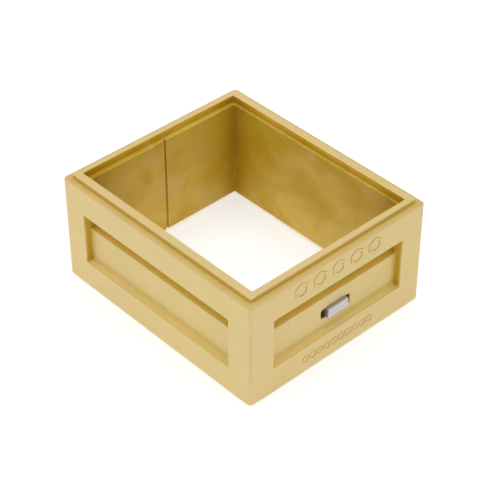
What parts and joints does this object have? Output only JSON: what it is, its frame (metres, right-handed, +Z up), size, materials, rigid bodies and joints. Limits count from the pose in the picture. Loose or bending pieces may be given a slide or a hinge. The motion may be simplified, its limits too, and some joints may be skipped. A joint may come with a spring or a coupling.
{
  "type": "langstroth hive box",
  "caption": "Moulded foam hive body with a stacking tongue, frame rebate, hand holds, division board grooves and a sliding metal entrance block.",
  "frame": {"origin": "centre of the underside, in the plane the box stands on", "axes": "+Z up, +X along the short side, and the front wall with the entrance faces -Y"},
  "size_m": [0.462, 0.5422, 0.25],
  "materials": {
    "foam": "moulded rigid foam skin, matte",
    "aluminium": "satin extruded bar",
    "zinc_sheet": "zinc plated sheet",
    "guide_plastic": "black moulded plastic",
    "screw_steel": "zinc plated steel"
  },
  "bodies": {
    "hive": {"hive_body": "foam", "slide_guide": "guide_plastic", "guide_screw_upper_left": "screw_steel", "guide_screw_upper_right": "screw_steel", "guide_screw_lower_left": "screw_steel", "guide_screw_lower_right": "screw_steel"},
    "entrance_slide": {"entrance_block": "aluminium", "slide_plate": "zinc_sheet", "slide_screw_left": "screw_steel", "slide_screw_right": "screw_steel"}
  },
  "joints": [
    {"name": "entrance_shift", "type": "slide", "parent": "hive", "child": "entrance_slide", "axis": [1, 0, 0], "range_m": [-0.008, 0.008]}
  ]
}
